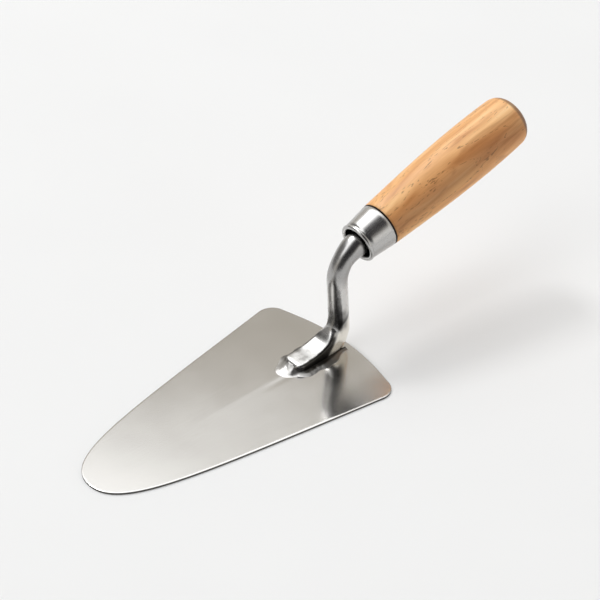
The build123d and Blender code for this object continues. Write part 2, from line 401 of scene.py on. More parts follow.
def sheet_of_rings(name, rings, capped=False):
    """A smooth mesh through rings of points that all have the same count."""
    mesh = bmesh.new()
    rows = [[mesh.verts.new(point) for point in ring] for ring in rings]
    count = len(rows[0])
    for lower, upper in zip(rows, rows[1:]):
        for i in range(count):
            j = (i + 1) % count
            mesh.faces.new((lower[i], lower[j], upper[j], upper[i]))
    if capped:
        mesh.faces.new(list(reversed(rows[0])))
        mesh.faces.new(rows[-1])
    return finished(name, mesh)


def finished(name, mesh):
    """Turns a bmesh into a smooth object in the scene."""
    bmesh.ops.remove_doubles(mesh, verts=mesh.verts, dist=MERGE_DISTANCE)
    bmesh.ops.dissolve_degenerate(mesh, edges=mesh.edges, dist=MERGE_DISTANCE)
    bmesh.ops.recalc_face_normals(mesh, faces=mesh.faces)
    data = bpy.data.meshes.new(name)
    mesh.to_mesh(data)
    mesh.free()
    data.shade_smooth()
    piece = bpy.data.objects.new(name, data)
    bpy.context.scene.collection.objects.link(piece)
    return piece


def turned(name, profile):
    """Spins (radius, distance) pairs about the handle's axis. A radius of zero closes the end."""
    to_axis = handle_matrix()
    rings = []
    for radius, distance in profile:
        ring = []
        for i in range(ROUND_STEPS):
            angle = 2 * math.pi * i / ROUND_STEPS
            point = Vector((radius * math.cos(angle), radius * math.sin(angle), distance))
            ring.append(to_axis @ point)
        rings.append(ring)
    return sheet_of_rings(name, rings)


def handle_matrix():
    """From a frame with Z along the handle's axis, and Z = 0 at the upper corner, to the row frame."""
    down = HANDLE_DIRECTION.cross(LEFT)
    turn = Matrix((LEFT, down, HANDLE_DIRECTION)).transposed().to_4x4()
    return Matrix.Translation(UPPER_CORNER) @ turn


# ---- Blade ----
def heel_bow(angle):
    """The point of the heel's bow at an angle from its middle."""
    return Vector((HEEL_X + HEEL_RADIUS * (1 - math.cos(angle)), HEEL_RADIUS * math.sin(angle)))


def blade_half_outline():
    """The left half of the outline, from the heel's middle to the tip, as points about 1 mm apart."""
    points = [heel_bow(HEEL_SWEEP * i / HEEL_STEPS) for i in range(HEEL_STEPS)]
    bow_end = heel_bow(HEEL_SWEEP)
    flank = Vector((math.sin(HEEL_SWEEP), math.cos(HEEL_SWEEP)))
    side = Vector((math.cos(SIDE_TAPER), -math.sin(SIDE_TAPER)))
    corner = bow_end + flank * ((BLADE_WIDTH / 2 - bow_end.y) / flank.y)
    turn = math.pi / 2 + SIDE_TAPER - HEEL_SWEEP
    tangent = HEEL_CORNER_RADIUS * math.tan(turn / 2)
    flank_end = corner - flank * tangent
    points += [bow_end.lerp(flank_end, i / FLANK_STEPS) for i in range(FLANK_STEPS)]
    centre = flank_end + Vector((flank.y, -flank.x)) * HEEL_CORNER_RADIUS
    first = math.atan2(flank_end.y - centre.y, flank_end.x - centre.x)
    for i in range(CORNER_STEPS):
        angle = first - turn * i / CORNER_STEPS
        points.append(centre + Vector((math.cos(angle), math.sin(angle))) * HEEL_CORNER_RADIUS)
    side_start = corner + side * tangent
    side_end = corner + side * ((TIP_X - NOSE_LENGTH - corner.x) / side.x)
    points += [side_start.lerp(side_end, i / SIDE_STEPS) for i in range(SIDE_STEPS)]
    tip = Vector((TIP_X, 0))
    pulls = (side_end, side_end + side * NOSE_FULLNESS, tip + Vector((0, TIP_FULLNESS)), tip)
    return points + [bezier(pulls, i / NOSE_STEPS) for i in range(NOSE_STEPS + 1)]


def half_width_at(outline, x):
    """The blade's half width at x, with its widest part carried on past the rounded heel corners."""
    widest = max(outline, key=lambda p: p.y)
    if x <= widest.x:
        return widest.y
    past = [p for p in outline if p.x >= x and p.x >= widest.x]
    return past[0].y if past else 0


def face_height(outline, x, y):
    """The height of the blade's top: a soft ridge that dies out towards the nose, and a hollow beside it."""
    across = min(abs(y) / max(half_width_at(outline, x), 1e-6), 1)
    soft = CROWN_SOFTNESS
    roof = 1 - (math.hypot(across, soft) - soft) / (math.hypot(1, soft) - soft)
    along = smoothstep(HEEL_X, HEEL_X + CROWN_RISE, x) * (1 - smoothstep(*CROWN_FADE, x))
    hollow = math.exp(-(((y - HOLLOW_OFFSET) / HOLLOW_WIDTH) ** 2))
    hollow *= smoothstep(*HOLLOW_START, x) * (1 - smoothstep(*HOLLOW_END, x))
    return BLADE_TOP + (CROWN_HEIGHT * roof * along - HOLLOW_DEPTH * hollow)


def make_blade(left_outline):
    outline = left_outline + [Vector((p.x, -p.y)) for p in reversed(left_outline[1:-1])]
    inward = []
    for i in range(len(outline)):
        along = outline[(i + 1) % len(outline)] - outline[i - 1]
        inward.append(Vector((along.y, -along.x)).normalized())
    spine = [Vector((min(max(p.x, HEEL_X + SPINE_HEEL_GAP), TIP_X - SPINE_TIP_GAP), 0)) for p in outline]

    def rim_ring(inset, height):
        return [Vector((*(point + normal * inset), height)) for point, normal in zip(outline, inward)]

    def face_ring(share, inset, height):
        ring = []
        for point, normal, middle in zip(outline, inward, spine):
            spot = middle.lerp(point + normal * inset, share)
            ring.append(Vector((spot.x, spot.y, height(spot))))
        return ring

    def underside(spot):
        return 0

    def top(spot):
        return face_height(left_outline, spot.x, spot.y)

    shares = [(i / FACE_STEPS) ** FACE_CROWDING for i in range(1, FACE_STEPS)]
    rings = [face_ring(share, EDGE_ROUNDING, underside) for share in [0] + shares[::UNDERSIDE_SKIP]]
    quarter = [math.pi / 2 * i / EDGE_STEPS for i in range(EDGE_STEPS + 1)]
    for angle in quarter:
        rings.append(rim_ring(EDGE_ROUNDING * (1 - math.sin(angle)), EDGE_ROUNDING * (1 - math.cos(angle))))
    for angle in quarter:
        drop = EDGE_BEVEL_DROP + EDGE_ROUNDING * (1 - math.sin(angle))
        rings.append(rim_ring(EDGE_ROUNDING * (1 - math.cos(angle)), BLADE_TOP - drop))
    for i in range(1, BEVEL_STEPS + 1):
        drop = EDGE_BEVEL_DROP * (1 - i / BEVEL_STEPS) ** EDGE_BEVEL_CURVE
        rings.append(rim_ring(EDGE_ROUNDING + EDGE_BEVEL * i / BEVEL_STEPS, BLADE_TOP - drop))
    rings += [face_ring(share, EDGE_ROUNDING + EDGE_BEVEL, top) for share in shares[::-1] + [0]]
    return sheet_of_rings("blade_plate", rings)


# ---- Shank ----
def corner_between(arriving, leaving):
    """(turn, direction from the corner to the inside of the bend) for two directions in the XZ plane."""
    return arriving.angle(leaving), (leaving - arriving).normalized()


def upper_stations():
    """(centre, direction, half depth, flatness) along the bar's handle end and its upper bend."""
    arriving, leaving = -HANDLE_DIRECTION, -NECK_DIRECTION
    turn, inward = corner_between(arriving, leaving)
    tangent = UPPER_BEND_RADIUS * math.tan(turn / 2)
    centre = UPPER_CORNER + inward * (UPPER_BEND_RADIUS / math.cos(turn / 2))
    bend_start = UPPER_CORNER - arriving * tangent
    bar_start = UPPER_CORNER + HANDLE_DIRECTION * (WOOD_NOSE + BAR_IN_WOOD)
    stations = []
    for i in range(BAR_END_STEPS):
        stations.append((bar_start.lerp(bend_start, i / BAR_END_STEPS), arriving, BAR_RADIUS + BAR_SWELL, 0))
    spoke = bend_start - centre
    for i in range(UPPER_BEND_STEPS + 1):
        turned_by = Matrix.Rotation(turn * i / UPPER_BEND_STEPS, 3, "Y")
        radius = BAR_RADIUS + BAR_SWELL * (1 - smoothstep(0, UPPER_BEND_STEPS / 2, i))
        stations.append((centre + turned_by @ spoke, turned_by @ arriving, radius, 0))
    return stations


def lower_stations():
    """The neck and the bend into the foot, as spokes from the centre of the bend's inside curve."""
    arriving, leaving = -NECK_DIRECTION, Vector((1, 0, 0))
    turn, inward = corner_between(arriving, leaving)
    slant = math.cos(turn / 2)
    hub = LOWER_CORNER + inward * ((LOWER_BEND_INSIDE + BAR_RADIUS) / slant)
    heel_hub = LOWER_CORNER + inward * ((LOWER_BEND_OUTSIDE - BAR_RADIUS) / slant)
    heel_corner = LOWER_CORNER - inward * (BAR_RADIUS / slant)
    heel_tangent = LOWER_BEND_OUTSIDE * math.tan(turn / 2)
    reach = LOWER_BEND_INSIDE + 2 * BAR_RADIUS
    back = Vector((-NECK_DIRECTION.z, 0, NECK_DIRECTION.x))
    bend_start = hub + back * (LOWER_BEND_INSIDE + BAR_RADIUS)
    upper_turn = corner_between(-HANDLE_DIRECTION, -NECK_DIRECTION)[0]
    neck_start = UPPER_CORNER + arriving * (UPPER_BEND_RADIUS * math.tan(upper_turn / 2))
    stations = []
    for i in range(1, NECK_STEPS):
        stations.append((neck_start.lerp(bend_start, i / NECK_STEPS), arriving, BAR_RADIUS, 0))
    for i in range(LOWER_BEND_STEPS + 1):
        share = i / LOWER_BEND_STEPS
        angle = turn * share
        spoke = back * math.cos(angle) + arriving * math.sin(angle)
        along = arriving * math.cos(angle) - back * math.sin(angle)
        far = reach / math.cos(min(angle, turn - angle))
        if (hub + spoke * far - heel_corner).length < heel_tangent:
            gap = hub - heel_hub
            half = gap.dot(spoke)
            far = -half + math.sqrt(half**2 - gap.length_squared + LOWER_BEND_OUTSIDE**2)
        inside = LOWER_BEND_INSIDE + LOWER_BEND_THINNING * share**LOWER_BEND_THINNING_CURVE
        depth = (far - inside) / 2
        flatness = smoothstep(LOWER_BEND_FLATTENING, 1, share)
        stations.append((hub + spoke * (inside + depth), along, depth, flatness))
    return stations


def section(half_width, height, flatness):
    """Points (across, up) of a section that stands on zero: round, or squarer and drooping when flat."""
    power = 2 + FOOT_SQUARENESS * flatness
    widest = 0.5 - FOOT_DROOP * flatness
    points = []
    for i in range(BAR_STEPS):
        angle = 2 * math.pi * i / BAR_STEPS
        c, s = math.cos(angle), math.sin(angle)
        across = math.copysign(abs(c) ** (2 / power), c) * half_width
        reach = height * (1 - widest) if s > 0 else height * widest
        points.append((across, height * widest + math.copysign(abs(s) ** (2 / power), s) * reach))
    return points


def bar_ring(centre, along, depth, flatness):
    """A ring of the bar, which keeps its width through the lower bend while its depth changes."""
    half_width = BAR_RADIUS if centre.z < UPPER_CORNER.z / 2 else depth
    half_width += (FOOT_HEEL_HALF_WIDTH - BAR_RADIUS) * flatness
    inner = along.cross(LEFT)
    outline = section(half_width, 2 * depth, flatness)
    return [centre + LEFT * across + inner * (up - depth) for across, up in outline]


def foot_shape(x):
    """(half width, height) of the foot's section at x, before the toe is rounded."""
    length = TOE_X - FOOT_START
    distance = x - FOOT_START
    half_width = FOOT_HEEL_HALF_WIDTH
    half_width += (FOOT_TOE_WIDTH / 2 - FOOT_HEEL_HALF_WIDTH) * smoothstep(0, length, distance)
    start_height = 2 * BAR_RADIUS - LOWER_BEND_THINNING
    height = hermite(start_height, FOOT_START_SLOPE, FOOT_TOE_HEIGHT, FOOT_END_SLOPE, length, distance)
    return half_width, height


def foot_ring(x):
    half_width, height = foot_shape(x)
    half_width -= rounding(FOOT_TOE_RADIUS, x - (TOE_X - FOOT_TOE_RADIUS))
    height -= FOOT_EDGE_DEPTH * rounding(FOOT_EDGE_RADIUS, x - (TOE_X - FOOT_EDGE_RADIUS))
    low = BLADE_TOP + BAR_LIFT * (1 - smoothstep(FOOT_START, FOOT_START + BAR_LIFT_FADE, x))
    return [Vector((x, across, low + up)) for across, up in section(half_width, height, 1)]


def forged(point):
    """Moves a point near the foot a little, as hammering does, but not past the toe or into the blade."""
    strength = FORGE_DEPTH * (1 - smoothstep(*FORGE_FADE, point.z))
    moved = point + noise.noise_vector(point * FORGE_SCALE) * strength
    return Vector((min(moved.x, TOE_X), moved.y, max(moved.z, BLADE_TOP)))


def make_shank():
    noise.seed_set(FORGE_SEED)
    rings = [bar_ring(*station) for station in upper_stations() + lower_stations()]
    toe_start = TOE_X - FOOT_TOE_RADIUS
    for i in range(1, FOOT_STEPS + 1):
        rings.append(foot_ring(FOOT_START + (toe_start - FOOT_START) * i / FOOT_STEPS))
    for i in range(1, TOE_STEPS + 1):
        rings.append(foot_ring(TOE_X - FOOT_TOE_RADIUS * (1 - math.sin(math.pi / 2 * i / TOE_STEPS))))
    rings = [[forged(point) for point in ring] for ring in rings]
    return sheet_of_rings("shank_bar", rings, capped=True)


# ---- Weld ----
def weld_path():
    """(rim point, outward normal) along the foot: up its left side, round the toe and back."""
    heel = LOWER_CORNER.x + WELD_HEEL_START
    corner = TOE_X - FOOT_TOE_RADIUS
    left_side = []
    for i in range(WELD_SIDE_STEPS):
        x = heel + (corner - heel) * i / WELD_SIDE_STEPS
        left_side.append((Vector((x, foot_shape(x)[0])), Vector((0, 1))))
    toe = []
    for i in range(-WELD_TOE_STEPS, WELD_TOE_STEPS + 1):
        angle = -math.pi / 2 * i / WELD_TOE_STEPS
        normal = Vector((math.cos(angle), math.sin(angle)))
        flat = FOOT_TOE_WIDTH / 2 - FOOT_TOE_RADIUS
        centre = Vector((corner, math.copysign(flat, -i) if i else 0))
        toe.append((centre + normal * FOOT_TOE_RADIUS, normal))
    right_side = [(Vector((rim.x, -rim.y)), Vector((0, -1))) for rim, _ in reversed(left_side)]
    return left_side + toe + right_side


def weld_section(rim, normal):
    """(run, height, hollowness) of the weld, which is long, hollow and high in front of the toe."""
    front = max(normal.x, 0)
    climb = front * smoothstep(*WELD_CLIMB_LEFT, normal.y) * smoothstep(*WELD_CLIMB_RIGHT, normal.y)
    side_run = WELD_MIDDLE_RUN
    side_run += (WELD_SIDE_RUN - WELD_MIDDLE_RUN) * smoothstep(0, TOE_X - FOOT_TOE_RADIUS, rim.x)
    side_run += (WELD_HEEL_RUN - WELD_MIDDLE_RUN) * smoothstep(0, LOWER_CORNER.x + WELD_HEEL_START, rim.x)
    run = side_run + (WELD_TOE_RUN - side_run) * front + WELD_TONGUE * front**WELD_TONGUE_SHARPNESS
    wobble = noise.noise(Vector((rim.x * WELD_WOBBLE_SCALE, rim.y * WELD_WOBBLE_SCALE, WELD_WOBBLE_SEED)))
    run *= 1 + WELD_WOBBLE * wobble
    height = WELD_SIDE_HEIGHT + (WELD_HEIGHT - WELD_SIDE_HEIGHT) * front + WELD_TOE_RISE * climb
    return run, height, 1 + WELD_TOE_HOLLOWNESS * front + WELD_CLIMB_HOLLOWNESS * climb


def make_weld(left_outline):
    """A concave fillet round the foot."""
    columns = []
    for rim, normal in weld_path():
        run, height, hollowness = weld_section(rim, normal)
        column = []
        for i in range(WELD_STEPS + 1):
            share = i / WELD_STEPS
            spot = rim + normal * (run * share - WELD_ROOT * (1 - share))
            lift = height * (1 - share) ** hollowness - WELD_SINK * share
            column.append(Vector((spot.x, spot.y, face_height(left_outline, spot.x, spot.y) + lift)))
        root = rim - normal * WELD_ROOT
        column.append(Vector((root.x, root.y, BLADE_TOP)))
        columns.append(column)
    return sheet_of_rings("weld_fillet", columns, capped=True)


# ---- Ferrule ----
def ferrule_radius(distance):
    """The tube's outer radius at a distance along the handle's axis."""
    return FERRULE_MOUTH_RADIUS + FERRULE_SLOPE * (distance - FERRULE_MOUTH)


def make_ferrule():
    lip_centre = FERRULE_MOUTH + LIP_RADIUS
    outside_start = FERRULE_REAR - FERRULE_CHAMFER
    outside_end = lip_centre + LIP_TO_WALL
    profile = [(FERRULE_REAR_RADIUS - FERRULE_CHAMFER, FERRULE_REAR)]
    for i in range(TUBE_STEPS + 1):
        distance = outside_start + (outside_end - outside_start) * i / TUBE_STEPS
        profile.append((ferrule_radius(distance), distance))
    groove = lip_centre + LIP_TO_GROOVE
    profile.append((ferrule_radius(groove) - LIP_GROOVE_DEPTH, groove))
    for i in range(LIP_STEPS + 1):
        angle = LIP_START + LIP_SWEEP * i / LIP_STEPS
        radius = FERRULE_MOUTH_RADIUS - FERRULE_WALL / 2 + LIP_RADIUS * math.sin(angle)
        profile.append((radius, lip_centre + LIP_RADIUS * math.cos(angle)))
    inside_start = lip_centre + LIP_RADIUS
    for i in range(TUBE_STEPS + 1):
        distance = inside_start + (FERRULE_REAR - inside_start) * i / TUBE_STEPS
        profile.append((ferrule_radius(distance) - FERRULE_WALL, distance))
    profile.append(profile[0])
    return turned("ferrule_tube", profile)


# ---- Handle ----
def grip_radius(distance):
    """The wood's radius along the grip, up to where the butt's dome starts: a cubic through four places."""
    knots = [
        (FERRULE_REAR, FERRULE_REAR_RADIUS - NOSE_CLEARANCE),
        (FERRULE_REAR + GRIP_LENGTH * GRIP_FRONT_PLACE, GRIP_FRONT_RADIUS),
        (FERRULE_REAR + GRIP_LENGTH * GRIP_PLACE, GRIP_RADIUS),
        (BUTT_END - BUTT_DOME, GRIP_REAR_RADIUS),
    ]
    total = 0
    for i, (knot, radius) in enumerate(knots):
        weight = 1
        for j, (other, _) in enumerate(knots):
            if i != j:
                weight *= (distance - other) / (knot - other)
        total += weight * radius
    return total


def nose_profile():
    """(radius, distance) pairs of the wood inside the ferrule and of the groove behind it."""
    nose_radius = ferrule_radius(WOOD_NOSE) - FERRULE_WALL
    inner = FERRULE_REAR_RADIUS - FERRULE_WALL
    return [
        (0, WOOD_NOSE),
        (nose_radius / 2, WOOD_NOSE),
        (nose_radius - NOSE_CHAMFER, WOOD_NOSE),
        (nose_radius - NOSE_CLEARANCE, WOOD_NOSE + NOSE_CHAMFER),
        (inner - NOSE_CLEARANCE, FERRULE_REAR - NOSE_END_GAP),
        (inner, FERRULE_REAR + 0.5 * JOINT_GROOVE),
        (FERRULE_REAR_RADIUS - GROOVE_SHOULDER, FERRULE_REAR + 0.8 * JOINT_GROOVE),
    ]


def butt_profile(start):
    """(radius, distance) pairs of the dome that closes the butt, from where the grip's curve ends."""
    radius = grip_radius(start)
    slope = (radius - grip_radius(start - 1 * MM)) / (1 * MM)
    side_pull = BUTT_DOME * BUTT_SIDE_FULLNESS
    pulls = (
        Vector((radius, start)),
        Vector((radius + slope * side_pull, start + side_pull)),
        Vector((GRIP_REAR_RADIUS * BUTT_FACE_FULLNESS, BUTT_END)),
        Vector((0, BUTT_END)),
    )
    return [tuple(bezier(pulls, i / BUTT_STEPS)) for i in range(1, BUTT_STEPS + 1)]


def make_handle():
    first = FERRULE_REAR + JOINT_GROOVE
    last = BUTT_END - BUTT_DOME
    profile = nose_profile()
    for i in range(GRIP_STEPS + 1):
        distance = first + (last - first) * i / GRIP_STEPS
        profile.append((grip_radius(distance), distance))
    return turned("handle_wood", profile + butt_profile(last))


# ---- Node trees ----
class Nodes:
    """A short way to write a node tree. A value is a number, a colour, a vector or another node's output."""

    def __init__(self, tree, shader):
        self.tree = tree
        self.shader = tree.nodes[shader]

    def put(self, socket, value):
        if isinstance(value, bpy.types.NodeSocket):
            self.tree.links.new(value, socket)
        elif socket.type == "RGBA":
            socket.default_value = (*value, 1)
        else:
            socket.default_value = value

    def shade(self, name, value):
        self.put(self.shader.inputs[name], value)

    def add(self, kind, sockets=None, **settings):
        node = self.tree.nodes.new("ShaderNode" + kind)
        for name, value in settings.items():
            setattr(node, name, value)
        for name, value in (sockets or {}).items():
            self.put(node.inputs[name], value)
        return node

    def maths(self, operation, *values):
        return self.add("Math", dict(enumerate(values)), operation=operation).outputs[0]

    def times(self, first, *others):
        for other in others:
            first = self.maths("MULTIPLY", first, other)
        return first

    def plus(self, first, second):
        return self.maths("ADD", first, second)

    def minus(self, first, second):
        return self.maths("SUBTRACT", first, second)

    def larger(self, first, second):
        return self.maths("MAXIMUM", first, second)

    def size(self, value):
        return self.maths("ABSOLUTE", value)

    def dot(self, first, second):
        return self.add("VectorMath", {0: first, 1: second}, operation="DOT_PRODUCT").outputs["Value"]

    def axes(self, vector):
        """The X, Y and Z of a vector."""
        return tuple(self.add("SeparateXYZ", {0: vector}).outputs)

    def object_coords(self):
        return self.add("TexCoord").outputs["Object"]

    def fade(self, source, none, full):
        """Zero up to one place and one from the other on, with a soft change between."""
        sockets = {"Value": source, "From Min": none, "From Max": full}
        return self.add("MapRange", sockets, interpolation_type="SMOOTHSTEP").outputs["Result"]

    def blend(self, factor, under, over, mode="MIX"):
        sockets = {"Factor": factor, 6: under, 7: over}
        return self.add("Mix", sockets, data_type="RGBA", blend_type=mode).outputs[2]

    def speckle(self, coords, scale, detail=2, distortion=0):
        """Noise stretched by a scale for each axis, as a height between 0 and 1."""
        scaled = self.add("Mapping", {"Vector": coords, "Scale": scale}).outputs["Vector"]
        sockets = {"Vector": scaled, "Scale": 1, "Detail": detail, "Distortion": distortion}
        return self.add("TexNoise", sockets).outputs["Fac"]

    def ramp(self, source, stops):
        """A colour that follows (position, colour) stops."""
        node = self.add("ValToRGB", {"Fac": source})
        band = node.color_ramp.elements
        band.remove(band[1])
        band[0].position = stops[0][0]
        for position, _ in stops[1:]:
            band.new(position)
        for element, (_, colour) in zip(band, stops):
            element.color = (*colour, 1)
        return node.outputs["Color"]

    def bump(self, source, strength, distance, normal=None):
        sockets = {"Height": source, "Strength": strength, "Distance": distance}
        if normal:
            sockets["Normal"] = normal
        return self.add("Bump", sockets).outputs["Normal"]


def new_material(name):
    material = bpy.data.materials.new(name)
    material.use_nodes = True
    return material, Nodes(material.node_tree, "Principled BSDF")


def handle_coords(n):
    """(along, left, down) from the upper corner, lined up with the handle."""
    sockets = {0: n.object_coords(), 1: UPPER_CORNER}
    centred = n.add("VectorMath", sockets, operation="SUBTRACT").outputs["Vector"]
    directions = {"X": HANDLE_DIRECTION, "Y": LEFT, "Z": HANDLE_DIRECTION.cross(LEFT)}
    sockets = {name: n.dot(centred, axis) for name, axis in directions.items()}
    return n.add("CombineXYZ", sockets).outputs["Vector"]


# ---- Steel ----
def steel(name, base, roughness, brush, waves, wave_scale, coords=None, dark=None, dull=None, shades=None):
    """Polished steel: fine brushing, faint smudges and slow waves, with a mask of painted shade, a mask for
    dull parts, and further painted light and tones.
    """
    material, n = new_material(name)
    n.shade("Metallic", 1)
    spots = coords(n) if coords else n.object_coords()
    brushed = n.speckle(spots, brush, detail=4)
    smudge = n.speckle(spots, SMUDGE_SCALE, detail=3)
    smudged = [c * SMUDGE_TONE for c in base]
    colour = n.ramp(smudge, list(zip(SMUDGE_SPREAD, (smudged, base))))
    # painted shade from the dark mask
    if dark:
        colour = n.blend(dark(n, spots), colour, SHADE_AND_DIMMING_BLACK)
    if shades:
        colour = shades(n, spots, colour)
    n.shade("Base Color", colour)
    rough = n.maths(
        "MULTIPLY_ADD", smudge, roughness * ROUGHNESS_IN_SMUDGES, roughness * ROUGHNESS_EVERYWHERE
    )
    rough = n.maths("MULTIPLY_ADD", brushed, roughness * ROUGHNESS_IN_BRUSHING, rough)
    if dull:
        rough = n.plus(rough, n.times(dull(n, spots), DULLNESS))
    n.shade("Roughness", rough)
    wave = n.speckle(spots, (wave_scale, wave_scale, wave_scale), detail=1)
    n.shade("Normal", n.bump(brushed, *BRUSH_BUMP, n.bump(wave, waves, WAVE_DEPTH)))
    return material


def heel_corner(n, spots):
    """One at the blade's left heel corner, where the polish has worn dull, and zero elsewhere."""
    x, y, _ = n.axes(spots)
    return n.times(n.fade(y, *CORNER_DULL_ACROSS), n.fade(x, *CORNER_DULL_ALONG))


def blade_edge_painted_shade(n, spots):
    """Painted shade: strong on the sheared edge under the polished face, and zero on the face."""
    _, _, z = n.axes(spots)
    return n.times(n.fade(z, *EDGE_DARK), EDGE_STRENGTH)


def shank_tones_and_painted_light(n, spots, colour):
    """Paints a sheen on the lower shank and a cream highlight on the heel, darkens low on the foot in
    patches, and paints shade on the foot's sides and a dark reflection up the neck.
    """
    x, y, z = n.axes(spots)
    # painted sheen: the lower neck, bend and foot get a brighter tone than the bar above
    colour = n.blend(n.fade(z, *NECK_SHEEN_HEIGHTS), colour, NECK_SHEEN_TONE)
    # darker low on the foot, in patches and more behind the toe
    patches = n.fade(n.speckle(spots, DIMMING_SCALE, detail=3), *DIMMING_SPREAD)
    dimming = n.maths("MULTIPLY_ADD", patches, DIMMING_IN_PATCHES, DIMMING_EVERYWHERE)
    dimming = n.plus(dimming, n.times(n.fade(x, *DIMMING_BEHIND_TOE), DIMMING_AT_BACK))
    colour = n.blend(n.times(n.fade(z, *DIMMING_HEIGHT), dimming), colour, SHADE_AND_DIMMING_BLACK)
    forward = n.plus(x, n.times(z, HEEL_LEAN))
    # painted cream highlight on the foot's heel, low on the back of the bend
    heel = n.times(n.fade(z, *HEEL_HIGHLIGHT_HEIGHT), n.fade(forward, *HEEL_HIGHLIGHT))
    colour = n.blend(heel, colour, HEEL_HIGHLIGHT_TONE)
    ragged = n.speckle(spots, RAGGED_SCALE, detail=3)
    # painted shade on the foot's sides and a painted dark reflection up the neck
    black = n.larger(foot_sides_painted_shade(n, x, y, z, forward, ragged), neck_painted_reflection(n, x, y, z, ragged))
    return n.blend(n.times(black, BLACK_STRENGTH), colour, SHADE_AND_DIMMING_BLACK)


def foot_sides_painted_shade(n, x, y, z, forward, ragged):
    """Painted shade: one on the foot's sides and in the crease along the blade, and zero on its top, heel
    and toe.
    """
    outward = n.plus(n.size(y), n.times(ragged, SIDE_RAGGEDNESS))
    above = n.larger(n.minus(z, SIDE_CLIMB_START), 0)
    side = n.fade(n.plus(outward, n.times(above, SIDE_CLIMB)), *SIDE_OUTWARD)
    behind_toe = n.fade(x, *SIDE_BEHIND_TOE)
    span = n.times(n.fade(forward, *SIDE_AHEAD_OF_HEEL), behind_toe)
    crease = n.times(n.fade(z, *CREASE_HEIGHT), behind_toe)
    return n.larger(n.times(side, n.fade(z, *SIDE_HEIGHT), span), crease)


def neck_painted_reflection(n, x, y, z, ragged):
    """A painted dark reflection: strong on a streak from the foot's left side up the neck's front, and on
    the bend's front.
    """
    forward = n.minus(n.plus(x, n.times(z, -math.tan(NECK_LEAN))), LOWER_CORNER.x)
    flare = n.fade(z, *STREAK_FLARE)
    aside = n.plus(n.minus(forward, y), n.times(ragged, STREAK_WANDER))
    aside = n.plus(aside, n.times(flare, STREAK_FLARE_SHIFT))
    distance = n.minus(n.size(n.minus(aside, STREAK_CENTRE)), n.times(flare, STREAK_FLARE_WIDTH))
    rise = n.times(n.fade(z, *STREAK_BOTTOM), n.fade(z, *STREAK_TOP), STREAK_STRENGTH)
    streak = n.times(n.fade(distance, *STREAK_WIDTH), n.fade(y, *STREAK_FRONT), rise)
    bend = n.times(n.fade(z, *BEND_BOTTOM), n.fade(z, *BEND_TOP), n.fade(forward, *BEND_FRONT))
    return n.larger(streak, n.times(bend, BEND_STRENGTH))


def weld_crease_shade(n, spots):
    """Painted shade: strong along the top of the weld's sides, where it meets the foot, and zero below and
    at the toe.
    """
    x, _, z = n.axes(spots)
    top = n.times(n.fade(z, *WELD_TOP_DARK), WELD_TOP_STRENGTH)
    middle = n.times(n.fade(z, *WELD_MIDDLE_DARK), WELD_MIDDLE_STRENGTH)
    return n.times(n.plus(top, middle), n.fade(x, *WELD_BEHIND_TOE))


def ferrule_inside_shade(n, spots):
    """Painted shade: one on the tube's inner wall, which light hardly reaches, and zero outside."""
    x, y, z = n.axes(spots)
    radius = n.maths("SQRT", n.plus(n.maths("POWER", y, 2), n.maths("POWER", z, 2)))
    outside = n.maths("MULTIPLY_ADD", x, FERRULE_SLOPE, ferrule_radius(0))
    deep = n.fade(n.minus(outside, radius), *TUBE_INSIDE)
    return n.times(deep, n.fade(x, *TUBE_BEHIND_LIP))


# ---- Wood ----
def wood_pores(n, spots, grain):
    """One in short pores: scattered in patches, and in lines that follow the grain."""
    pores = n.fade(n.speckle(spots, PORE_SCALE, 1, 0.3), *PORE_SPREAD)
    patches = n.fade(n.speckle(spots, PORE_PATCH_SCALE, 2, 0.8), *PORE_PATCH_SPREAD)
    line = n.fade(n.size(n.minus(grain, PORE_LINE_LEVEL)), *PORE_LINE_WIDTH)
    dots = n.fade(n.speckle(spots, PORE_LINE_SCALE, 1, 0.3), *PORE_DOT_SPREAD)
    return n.larger(n.times(pores, patches), n.times(line, dots))


def wood(name):
    """Pale oiled beech: soft wavy grain along the handle, with short dark pores in lines, painted light and
    shade across it, and painted shade where it sits in the ferrule.
    """
    material, n = new_material(name)
    spots = handle_coords(n)
    along, left, down = n.axes(spots)
    grain = n.speckle(spots, GRAIN_SCALE, 2, 1.4)
    tone = n.ramp(grain, WOOD_TONES)
    streak = n.fade(n.speckle(spots, STREAK_SCALE, 3, 1.8), *STREAK_SPREAD)
    tone = n.blend(n.times(streak, WOOD_STREAK_STRENGTH), tone, WOOD_STREAK)
    fibre = n.speckle(spots, FIBRE_SCALE, 4, 0.2)
    tone = n.blend(1, tone, n.ramp(fibre, WOOD_FIBRES), "MULTIPLY")
    # painted light and shade across the handle
    across = n.fade(n.plus(down, left), *WOOD_ACROSS)
    tone = n.blend(1, tone, n.ramp(across, WOOD_PAINTED_SHADING), "MULTIPLY")
    pores = wood_pores(n, spots, grain)
    tone = n.blend(n.times(pores, WOOD_PORE_STRENGTH), tone, WOOD_PORE)
    tone = n.blend(n.times(n.fade(along, *WOOD_END), WOOD_END_STRENGTH), tone, WOOD_END_GRAIN)
    # painted shade, near black, on the wood inside the ferrule and in the groove behind it
    n.shade("Base Color", n.blend(n.fade(along, *WOOD_SHADE_END), WOOD_PAINTED_SHADE, tone))
    n.shade("Specular IOR Level", 0.35)
    n.shade("Coat Weight", 0.12)
    n.shade("Coat Roughness", 0.3)
    n.shade("Roughness", n.maths("MULTIPLY_ADD", fibre, 0.18, 0.40))
    n.shade("Normal", n.bump(pores, -0.5, 0.3 * MM, n.bump(fibre, 0.12, 0.2 * MM)))
    return material


